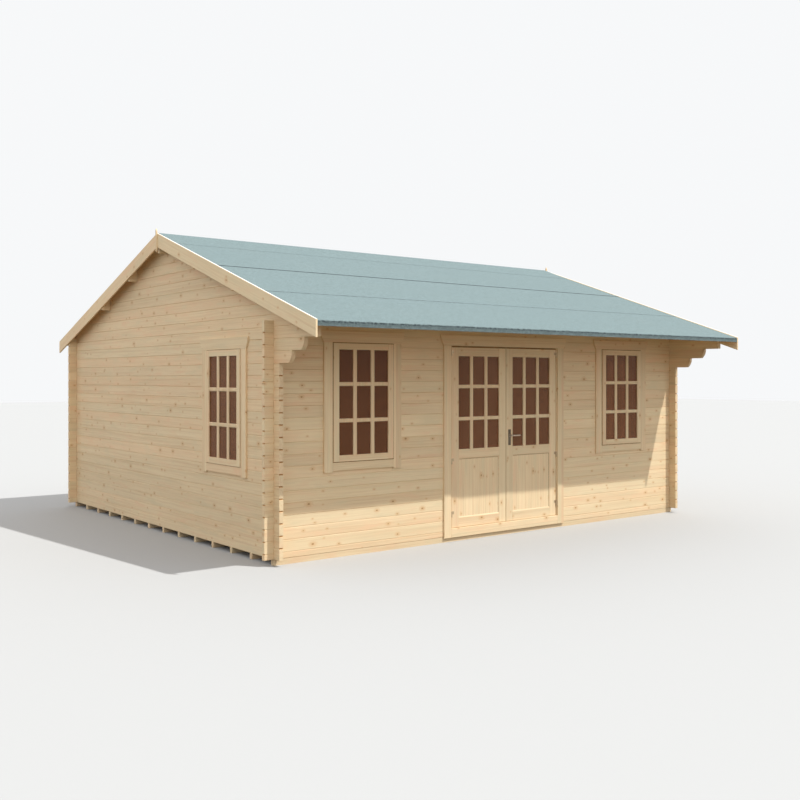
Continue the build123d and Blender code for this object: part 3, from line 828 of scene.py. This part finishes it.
def felt_sheet(low, high, side):
    """One slope's felt with its laps and folded edge.

    The felt's section is laid down the slope and ends in a fold that hangs from the eave. Over
    the ridge it stands off the boards by RIDGE_LIFT, less and less towards the first lap. It is
    carried along X while the lap edges waver by up to 3.5 mm and the fold's foot by up to
    1.6 mm, and between the ridge and the eave the sheet lies 0.1 to 1.3 mm over the plain one.
    """
    columns = np.linspace(low[0], high[0], 230)
    reach = max(abs(low[1]), abs(high[1]))
    slope = math.tan(PITCH)
    run, rise, edge = felt_section(reach)
    shift = sum((edge == number)[None, :] * waver(columns, number)[:, None] * 0.0035
                for number in range(1, len(LAPS) + 1))
    runs = run[None, :] + shift
    swell = waver(columns * 0.7, 5.0)[:, None] * np.sin(run * 5.3 + 1.0)[None, :] * 0.0006 + 0.0007
    inside = ((run > 0.02) & (run < reach - 0.02))[None, :]
    bridge = RIDGE_LIFT * np.clip(1.0 - run / LAPS[0][0], 0.0, 1.0)
    tops = high[2] - runs * slope + (rise + bridge)[None, :] + swell * inside
    ones = np.ones_like(columns)
    corner = (high[2] - reach * slope) * ones
    foot = corner - FOLD + waver(columns, 7.0) * 0.0016
    hang = [(reach - 0.0004, corner - 0.020), (reach - 0.0012, foot + 0.012),
            (reach - 0.0004, foot), (reach - FELT, foot), (reach - FELT, corner)]
    heights = np.stack([height for _, height in hang], axis=1)
    outs = np.array([out for out, _ in hang])[None, :] * ones[:, None]
    under = ones[:, None] * (high[2] - FELT / math.cos(PITCH))
    runs = np.concatenate([runs, outs, 0.0 * under], axis=1)
    tops = np.concatenate([tops, heights, under], axis=1)
    across = np.broadcast_to(columns[:, None], runs.shape)
    return lofted(np.stack([across, side * runs, tops], axis=-1))


def board_share(edges, wanted):
    """How many boards of about a wanted width fill the space between edges, and their width."""
    count = round((edges[1] - edges[0]) / wanted)
    return count, (edges[1] - edges[0]) / count


def matched_boards(edges, count, start, end, up, thickness, vee):
    """Boards side by side along X with a vee joint between their faces.

    start and end are the Y and Z of the boards' faces at their two ends, and up points from the
    face into the board.
    """
    places = np.linspace(*edges, count + 1)
    half = (places[1] - places[0]) / 2 - 0.0002
    profile = [(-half, thickness), (half, thickness), (half, vee), (half - vee, 0.0),
               (vee - half, 0.0), (-half, vee)]
    middles = (places[1:] + places[:-1]) / 2
    starts, ends = (
        np.stack([middles, np.full(count, y), np.full(count, z)], axis=1) for y, z in (start, end))
    return carried(profile, starts, ends, ACROSS, up)


def bead(low, high, face, out, profile):
    """A moulding round the inside of an upright rectangle, mitred at its corners.

    low and high are the rectangle's X and Z corners on the plane Y = face; a profile point is
    an inset from the rectangle and a height along out.
    """
    inset, height = np.asarray(profile, float).T
    x = np.stack([low[0] + inset, high[0] - inset, high[0] - inset, low[0] + inset])
    z = np.stack([low[1] + inset, low[1] + inset, high[1] - inset, high[1] - inset])
    return ringed(np.stack([x, np.broadcast_to(face + out * height, x.shape), z], axis=-1))


def annulus(place, out, profile, count=32):
    """A ring with a hole, its section carried once round a line along Y.

    A profile point is a radius and a height along out.
    """
    radius, height = np.asarray(profile, float).T
    angle = np.linspace(0.0, math.tau, count, endpoint=False)[:, None]
    x = place[0] + radius * np.cos(angle)
    z = place[2] + radius * np.sin(angle)
    return ringed(np.stack([x, np.broadcast_to(place[1] + out * height, x.shape), z], axis=-1))


def turned(places, out, profile, count=16):
    """Solids of revolution about lines along Y.

    Corner k of a profile is a radius and a height along out; it is carried round each place in
    equal steps of angle, and the first and last corners are closed by a face.
    """
    profile = np.asarray(profile, float)
    angle = np.linspace(0.0, math.tau, count, endpoint=False)
    circle = np.stack([np.cos(angle), np.zeros(count), np.sin(angle)], axis=1)
    rings = profile[:, None, :1] * circle[None]
    rises = profile[:, None, 1:] * np.array([0.0, out, 0.0])
    return joined([lofted(place + rings + rises) for place in np.asarray(places, float)])


def eased(node_object, width):
    """Merges a node's loose triangles for show and eases its square edges."""
    weld = node_object.modifiers.new("weld", "WELD")
    weld.merge_threshold = 0.00002
    bevel = node_object.modifiers.new("ease", "BEVEL")
    bevel.width = width
    bevel.segments = 1
    bevel.limit_method = "ANGLE"
    bevel.angle_limit = math.radians(50)
    bevel.use_clamp_overlap = False


def dress(names, material, width=None):
    """Gives CAD nodes a finish, and eased edges where a width is given."""
    for name in names:
        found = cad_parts[name]
        found.data.materials.clear()
        found.data.materials.append(material)
        if width:
            eased(found, width)


# Operators


class CABIN_OT_logs(bpy.types.Operator):
    """Finish the log walls, gables, purlins and floor bearers"""

    bl_idname = "cabin.logs"
    bl_label = "Log walls"

    def execute(self, context):
        log_edge, edge = sizes().log_edge, sizes().edge
        front_low, rear_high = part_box("front_wall_left")[0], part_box("rear_wall")[1]
        side_low, side_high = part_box("left_wall")[0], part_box("right_wall")[1]
        ends = (front_low[0] - STUB_MARGIN, STUB_MARGIN - front_low[0])
        front = pine(
            "front_log_pine", level_logs(0, 0.0, front_low[1], rear_high[1]), notched=(0, *ends))
        dress(["front_wall_left", "front_wall_right", "front_wall_top", "front_sill_log",
               "rear_wall"], front, log_edge)
        ends = (front_low[1] - STUB - STUB_MARGIN, side_high[1] + STUB_MARGIN)
        side = pine(
            "side_log_pine", level_logs(1, SIDE_SHIFT, side_low[0], side_high[0]), tone=0.98,
            knots=0.75, notched=(1, *ends))
        dress(["left_wall", "right_wall", "left_gable", "right_gable"], side, log_edge)
        beam = pine("purlin_pine", level_boards(0, 1, PURLIN_STRIP, base=PURLIN_BASE))
        dress(["purlins"], beam, edge)
        sawn = pine("bearer_pine", level_boards(0, 1, BEARER_STRIP), tone=0.95)
        dress(["floor_bearers"], sawn, edge)
        self.facings(sawn, front_low[1])
        return {"FINISHED"}

    def facings(self, sawn, wall_face):
        """Thin boards that bring the front and rear bearers out to the logs' faces."""
        low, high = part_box("floor_bearers")
        depth = (low[1] - wall_face) - FACING_BEHIND
        height = high[2] - FACING_BELOW
        board = [(-depth, 0.0), (0.0, 0.0), (0.0, height), (-depth, height)]
        for face, out, name in ((low[1], -1.0, "front"), (high[1], 1.0, "rear")):
            piece(f"{name}_bearer_facing", "cabin", sawn, strip(
                board, (low[0], face, 0.0), (high[0] - low[0], 0.0, 0.0), (0.0, -out, 0.0), UP))


class CABIN_OT_boards(bpy.types.Operator):
    """Finish the bargeboards, eave boards, cover strips, frames and trim boards"""

    bl_idname = "cabin.boards"
    bl_label = "Boards and trim"

    def execute(self, context):
        edge = sizes().edge
        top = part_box("front_bargeboards")[1][2]
        # Their upper faces carry a painted highlight.
        verge = pine("bargeboard_pine", down_slope(top), tone=1.03, knots=0.8, top_highlight=0.8)
        dress(["front_bargeboards", "rear_bargeboards"], verge, edge)
        cover = pine("cover_strip_pine", whole(2, 1, 0.0, 5.0), knots=0.2)
        dress(["gable_cover_strips"], cover)
        eave = pine("eave_board_pine", whole(0, 2, EAVE_HEIGHT, 7.0))
        dress(["eave_boards"], eave, edge)
        frames = []
        for number, name in enumerate(WINDOWS):
            frames.append((f"{name}_trim", WINDOW_TRIM, 10.0 * number + 51.0, True, 0.7))
            frames.append((name, SASH, 10.0 * number + 151.0, False, 0.4))
        frames.append(("door_trim", DOOR_TRIM, 251.0, True, 0.7))
        frames.append(("door_frame", DOOR_FRAME, 271.0, False, 1.0))
        for name, widths, salt, crossed, knots in frames:
            wood = pine(f"{name}_pine", framed(name, *widths, salt, crossed), knots=knots)
            dress([name], wood, edge)
        return {"FINISHED"}


class CABIN_OT_leaves(bpy.types.Operator):
    """Finish the door leaves and fill their panels with matched boards and mouldings"""

    bl_idname = "cabin.leaves"
    bl_label = "Door leaves"

    def execute(self, context):
        size = sizes()
        # Strips of painted shade inside each panel and along each leaf's top.
        shade_finish = seal_shade("leaf_shade_lines")
        rise = size.panel_skin + SKIN_LAP
        for number, body in enumerate(DOORS):
            name = f"{body}_leaf"
            salt = 10.0 * number + 301.0
            leaf = pine(f"{name}_pine", leaf_members(name, salt), knots=0.8)
            dress([name], leaf, size.edge)
            low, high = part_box(name)
            edges = (low[0] + STILE + PANEL_GAP, high[0] - STILE - PANEL_GAP)
            heights = (low[2] + PANEL[0] + PANEL_GAP, low[2] + PANEL[1] - PANEL_GAP)
            count, width = board_share(edges, size.panel_board)
            boards, mouldings, shade_strips = [], [], []
            for behind, out, depth in PANEL_FACES:
                face = low[1] + behind
                skin = face + out * size.panel_skin
                boards.append(matched_boards(
                    edges, count, (skin, heights[0]), (skin, heights[1]), (0.0, -out, 0.0),
                    size.panel_skin, size.panel_vee))
                mouldings += self.mouldings(edges, heights, face, out, depth, rise)
                shade_strips += self.panel_shade_lines(edges, heights, face, out, rise)
            # A strip of painted shade along the leaf's top, which the head trim shades.
            shade_strips.append(strip(
                self.flat(*HEAD_SHADE_STRIP), (low[0] + HEAD_SHADE_STRIP_INSET, low[1], high[2]),
                (high[0] - low[0] - 2 * HEAD_SHADE_STRIP_INSET, 0.0, 0.0), UP, (0.0, -1.0, 0.0)))
            matched = pine(
                f"{body}_board_pine", level_boards(2, 0, width, edges[0], low[1]), tone=1.05,
                knots=0.8, spread=0.3)
            piece(f"{body}_boards", body, matched, joined(boards))
            milled = pine(f"{body}_bead_pine", leaf_members(name, salt + 3.0), knots=0.0)
            piece(f"{body}_beads", body, milled, joined(mouldings))
            piece(f"{body}_seals", body, shade_finish, joined(shade_strips))
        return {"FINISHED"}

    def mouldings(self, edges, heights, face, out, depth, rise):
        """A wide sloping moulding at the panel's foot and a narrow one all round the panel."""
        sill = [(0.0, 0.0), (0.0, depth), (0.004, depth), (SILL_MOULDING, rise),
                (SILL_MOULDING, 0.0)]
        bed = [(0.0, 0.0), (0.0, depth - 0.0002), (0.0012, depth - 0.0002),
               (BED_MOULDING, rise - 0.0002), (BED_MOULDING, 0.0)]
        return [
            strip(sill, (edges[0], face, heights[0]), (edges[1] - edges[0], 0.0, 0.0),
                  UP, (0.0, out, 0.0)),
            bead((edges[0], heights[0]), (edges[1], heights[1]), face, out, bed)]

    def flat(self, width, thickness):
        """A flat section that lies behind its first corner."""
        return [(0.0, 0.0), (0.0, thickness), (-width, thickness), (-width, 0.0)]

    def panel_shade_lines(self, edges, heights, face, out, rise):
        """Lines of painted shade along the panel's top and right, just inside its mouldings."""
        line = self.flat(SHADE_LINE, rise)
        inset = BED_MOULDING - 0.0003
        wide = edges[1] - edges[0] - 2 * BED_MOULDING
        tall = heights[1] - heights[0] - SILL_MOULDING - SHADE_LINE_END
        return [
            strip(line, (edges[0] + BED_MOULDING, face, heights[1] - inset), (wide, 0.0, 0.0),
                  UP, (0.0, out, 0.0)),
            strip(line, (edges[1] - inset, face, heights[0] + SILL_MOULDING), (0.0, 0.0, tall),
                  ACROSS, (0.0, out, 0.0))]


class CABIN_OT_roof(bpy.types.Operator):
    """Lay the roof boards and the felt over them"""

    bl_idname = "cabin.roof"
    bl_label = "Roof"

    def execute(self, context):
        size = sizes()
        plumb, slope = 1.0 / math.cos(PITCH), math.tan(PITCH)
        for name, side in (("front", -1.0), ("rear", 1.0)):
            low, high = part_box(f"{name}_felt")
            reach = max(abs(low[1]), abs(high[1]))
            felt = mineral_felt(f"{name}_mineral_felt", high[2] - reach * slope)
            piece(f"{name}_felt_strips", "cabin", felt,
                  felt_sheet(low, high, side), [f"{name}_felt"])
            low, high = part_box(f"{name}_roof_boards")
            edges = (low[0], high[0])
            count, width = board_share(edges, size.roof_board)
            reach = max(abs(low[1]), abs(high[1]))
            ridge = high[2] - ROOF_BOARD_DEPTH * plumb
            wood = pine(f"{name}_roof_board_pine", down_slope(ridge, width), knots=0.8)
            planks = matched_boards(
                edges, count, (0.0, ridge), (side * reach, ridge - reach * slope),
                (0.0, 0.0, plumb), ROOF_BOARD_DEPTH, size.roof_vee)
            piece(f"{name}_roof_planks", "cabin", wood, planks,
                  [f"{name}_roof_boards"])
        return {"FINISHED"}


class CABIN_OT_floor(bpy.types.Operator):
    """Lay the floor boards"""

    bl_idname = "cabin.floor"
    bl_label = "Floor"

    def execute(self, context):
        low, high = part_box("floor")
        edges = (low[0], high[0])
        count, width = board_share(edges, sizes().floor_board)
        wood = pine("floor_pine", level_boards(1, 0, width, low[0], high[2]))
        planks = matched_boards(
            edges, count, (low[1], high[2]), (high[1], high[2]), (0.0, 0.0, -1.0),
            high[2] - low[2], sizes().floor_vee)
        piece("floor_planks", "cabin", wood, planks, ["floor"])
        return {"FINISHED"}


class CABIN_OT_glazing(bpy.types.Operator):
    """Glaze the windows and leaves; add glazing bars and sash gap strips dark with painted shade
    """

    bl_idname = "cabin.glazing"
    bl_label = "Glazing"

    def execute(self, context):
        clear = pane_glass("float_glass")
        wood = pine("bar_pine", whole(2, 0, 0.0, 400.0), knots=0.1)
        for name in (*WINDOWS, *DOORS):
            dress([f"{name}_glass"], clear)
            body = name if name in DOORS else "cabin"
            piece(f"{name}_bars", body, wood, self.bars(f"{name}_glass"))
        # Draught strips in the sash gaps, dark with painted shade of the gaps.
        shade_finish = seal_shade("sash_gap_shade")
        for name in WINDOWS:
            piece(f"{name}_seals", "cabin", shade_finish, self.gap_strip_and_shade(name))
        return {"FINISHED"}

    def bars(self, node):
        """Level and upright bars on both faces of the glass, which part it into equal panes."""
        size = sizes()
        low, high = (np.array(corner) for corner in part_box(node))
        face_axis = int(np.argmin(high - low))
        across, out, up = np.eye(3)[[1 - face_axis, face_axis, 2]]
        middle = (low + high) / 2
        wide, tall = (high - low)[1 - face_axis], (high - low)[2]
        thick = (high - low)[face_axis] / 2
        step = np.arange(1, size.panes)
        parts = []
        for side in (-1.0, 1.0):
            for bar, depth, span, reach, spread, way in (
                    (size.upright_bar, size.bar_depth, wide, tall, across, up),
                    (size.level_bar, size.bar_depth - 0.0008, tall, wide, up, across)):
                pane = (span - (size.panes - 1) * bar) / size.panes
                places = step * pane + (step - 0.5) * bar - span / 2
                base = middle + places[:, None] * spread
                parts.append(carried(
                    self.bar_section(bar, depth, thick), base - way * reach / 2,
                    base + way * reach / 2, spread, side * out))
        return joined(parts)

    def bar_section(self, width, depth, thick):
        """A bar's section on glass whose face is at thick, with its two outer corners cut."""
        ease = min(0.006, depth * 0.6)
        half = width / 2
        return [(-half, thick), (half, thick), (half, thick + depth - ease),
                (half - ease, thick + depth), (ease - half, thick + depth),
                (-half, thick + depth - ease)]

    def gap_strip_and_shade(self, node):
        """A flat draught strip over the gap between a sash and its trim, mitred at the corners.
        Its dark colour is painted shade of the gap.

        On the front it laps onto the trim, and on the sides it lies down in the gap.
        """
        low, high = (np.array(corner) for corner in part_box(node))
        face_axis = int(np.argmin(high - low))
        across_axis = 1 - face_axis
        out = 1.0 if low[face_axis] + high[face_axis] > 0 else -1.0
        face = (high if out > 0 else low)[face_axis] - out * SASH_RISE
        lap, base = (0.0030, TRIM_DEPTH) if face_axis == 1 else (0.0, 0.010)
        top = base + 0.0007
        points, faces = bead(
            (low[across_axis] + WINDOW_FRAME - TRIM_GAP, low[2] + WINDOW_FRAME - TRIM_GAP),
            (high[across_axis] - WINDOW_FRAME + TRIM_GAP, high[2] - WINDOW_FRAME + TRIM_GAP),
            face, out, [(-lap, base), (-lap, top), (0.0040, top), (0.0040, base)])
        return (points[:, [1, 0, 2]] if face_axis == 0 else points), faces


class CABIN_OT_fittings(bpy.types.Operator):
    """Finish the hinges and the door handle and add their screws"""

    bl_idname = "cabin.fittings"
    bl_label = "Fittings"

    def execute(self, context):
        paint = colours()
        zinc = metal("hinge_steel", paint.hinge, 0.55)
        dark = metal("plate_steel", paint.plate, 0.42)
        satin = metal("lever_steel", paint.lever, 0.30)
        dress(["hinge_pins", "left_hinge_sleeves", "right_hinge_sleeves"], zinc)
        dress(["handle_plates"], dark)
        dress(["lever_handle"], satin)
        trim, collars = self.plate_fittings()
        piece("handle_trim", "right_door", dark, trim)
        piece("handle_collars", "right_door", satin, collars)
        for side in ("left", "right"):
            piece(f"{side}_hinge_screws", f"{side}_door", zinc,
                  self.hinge_screws(f"{side}_hinge_sleeves"))
        return {"FINISHED"}

    def plate_fittings(self):
        """Screws, a keyhole and ribs on both plates, and a collar round each end of the spindle.

        A rib is half an ellipse carried up the plate.
        """
        low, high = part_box("handle_plates")
        lever_low, lever_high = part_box("lever_handle")
        middle = (low[0] + high[0]) / 2
        pivot = (lever_low[2] + lever_high[2]) / 2
        arc = np.linspace(0.0, math.pi, 9)
        rib = np.stack([RIB[0] * np.cos(arc), RIB[1] * np.sin(arc)], axis=1)
        ribs = ((low[2] + PLATE_END, pivot - KEYHOLE_DROP - KEYHOLE_REACH),
                (pivot + COLLAR_REACH, high[2] - PLATE_END))
        trim, collars = [], []
        for face, out in ((low[1], -1.0), (high[1], 1.0)):
            screws = [(middle, face, end) for end in (low[2] + PLATE_SCREW, high[2] - PLATE_SCREW)]
            trim.append(turned(screws, out, SCREW_HEAD))
            trim.append(turned([(middle, face, pivot - KEYHOLE_DROP)], out, KEYHOLE, 20))
            collars.append(annulus((middle, face, pivot), out, COLLAR))
            for foot, head in ribs:
                trim.append(strip(
                    rib, (middle, face, foot), (0.0, 0.0, head - foot), ACROSS, (0.0, out, 0.0)))
        return joined(trim), joined(collars)

    def hinge_screws(self, node):
        """Two screws, one above the other, on the flap of each hinge of a leaf."""
        low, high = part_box(node)
        middle = (low[0] + high[0]) / 2 - math.copysign(SCREW_SHIFT, low[0])
        places = [(middle, FLAP_FACE, height + rise)
                  for height in HINGE_HEIGHTS for rise in SCREW_RISES]
        return turned(places, -1.0, SCREW_HEAD, 12)


class CABIN_OT_stage(bpy.types.Operator):
    """Make the floor, the light and the camera"""

    bl_idname = "cabin.stage"
    bl_label = "Stage"

    def execute(self, context):
        self.floor(context.scene)
        self.light(context.scene)
        self.camera(context.scene)
        context.scene.view_settings.view_transform = "Standard"
        return {"FINISHED"}

    def floor(self, scene):
        """A square floor that looks paler to the camera than the light that it gives back."""
        corners = [(x * STAGE_REACH, y * STAGE_REACH, 0.0)
                   for x, y in ((-1, -1), (1, -1), (1, 1), (-1, 1))]
        mesh = bpy.data.meshes.new("studio_floor")
        mesh.from_pydata(corners, [], [(0, 1, 2, 3)])
        ground = bpy.data.objects.new("studio_floor", mesh)
        scene.collection.objects.link(ground)
        graph = Graph(bpy.data.materials.new("studio_floor"))
        paint = colours()
        tone = graph.blend(
            graph.rays("Is Camera Ray", "Is Glossy Ray"), paint.lit_ground, paint.shown_ground)
        mesh.materials.append(graph.finish(
            graph.shader("ShaderNodeBsdfPrincipled", Base_Color=tone, Roughness=0.9)))

    def light(self, scene):
        """The sky, as it lights and as it shows, and the sun."""
        graph = Graph(bpy.data.worlds.new("studio_sky"), "ShaderNodeOutputWorld")
        paint = colours()
        seen = graph.rays("Is Camera Ray", "Is Glossy Ray", "Is Transmission Ray")
        given = graph.shader("ShaderNodeBackground", Color=paint.sky_light, Strength=SKY_STRENGTH)
        shown = graph.shader("ShaderNodeBackground", Color=paint.shown_sky, Strength=1.0)
        scene.world = graph.finish(graph.mixed(seen, given, shown))
        sun = bpy.data.lights.new("key_light", "SUN")
        sun.energy = SUN_STRENGTH
        sun.angle = SUN_WIDTH
        sun.color = (1.0, 1.0, 0.98)
        lamp = bpy.data.objects.new("key_light", sun)
        lamp.rotation_mode = "QUATERNION"
        lamp.rotation_quaternion = Vector(SUN_WAY).to_track_quat("Z", "Y")
        scene.collection.objects.link(lamp)

    def camera(self, scene):
        """A level camera in the photograph's place."""
        lens = bpy.data.cameras.new("camera")
        lens.lens = CAMERA_LENS
        lens.sensor_width = 36.0
        lens.shift_y = CAMERA_SHIFT
        lens.clip_end = 200.0
        camera = bpy.data.objects.new("camera", lens)
        camera.location = CAMERA_PLACE
        camera.rotation_euler = (math.radians(90.0), 0.0, CAMERA_TURN)
        scene.collection.objects.link(camera)
        scene.camera = camera


class CABIN_PT_panel(bpy.types.Panel):
    """Lists the cabin's steps and values"""

    bl_idname = "CABIN_PT_panel"
    bl_label = "Log cabin"
    bl_space_type = "VIEW_3D"
    bl_region_type = "UI"
    bl_category = "Cabin"

    def draw(self, context):
        for operator in OPERATORS:
            self.layout.operator(operator.bl_idname)
        for group in (context.scene.cabin_sizes, context.scene.cabin_colours):
            for key in group.__annotations__:
                self.layout.prop(group, key)


OPERATORS = (
    CABIN_OT_logs, CABIN_OT_boards, CABIN_OT_leaves, CABIN_OT_roof, CABIN_OT_floor,
    CABIN_OT_glazing, CABIN_OT_fittings, CABIN_OT_stage)
CLASSES = (CabinSizes, CabinColours, *OPERATORS, CABIN_PT_panel)


def register():
    for found in CLASSES:
        bpy.utils.register_class(found)
    bpy.types.Scene.cabin_sizes = bpy.props.PointerProperty(type=CabinSizes)
    bpy.types.Scene.cabin_colours = bpy.props.PointerProperty(type=CabinColours)


def unregister():
    del bpy.types.Scene.cabin_colours
    del bpy.types.Scene.cabin_sizes
    for found in reversed(CLASSES):
        bpy.utils.unregister_class(found)


def main():
    register()
    bpy.ops.cabin.logs()
    bpy.ops.cabin.boards()
    bpy.ops.cabin.leaves()
    bpy.ops.cabin.roof()
    bpy.ops.cabin.floor()
    bpy.ops.cabin.glazing()
    bpy.ops.cabin.fittings()
    bpy.ops.cabin.stage()


if __name__ == "__main__":
    main()
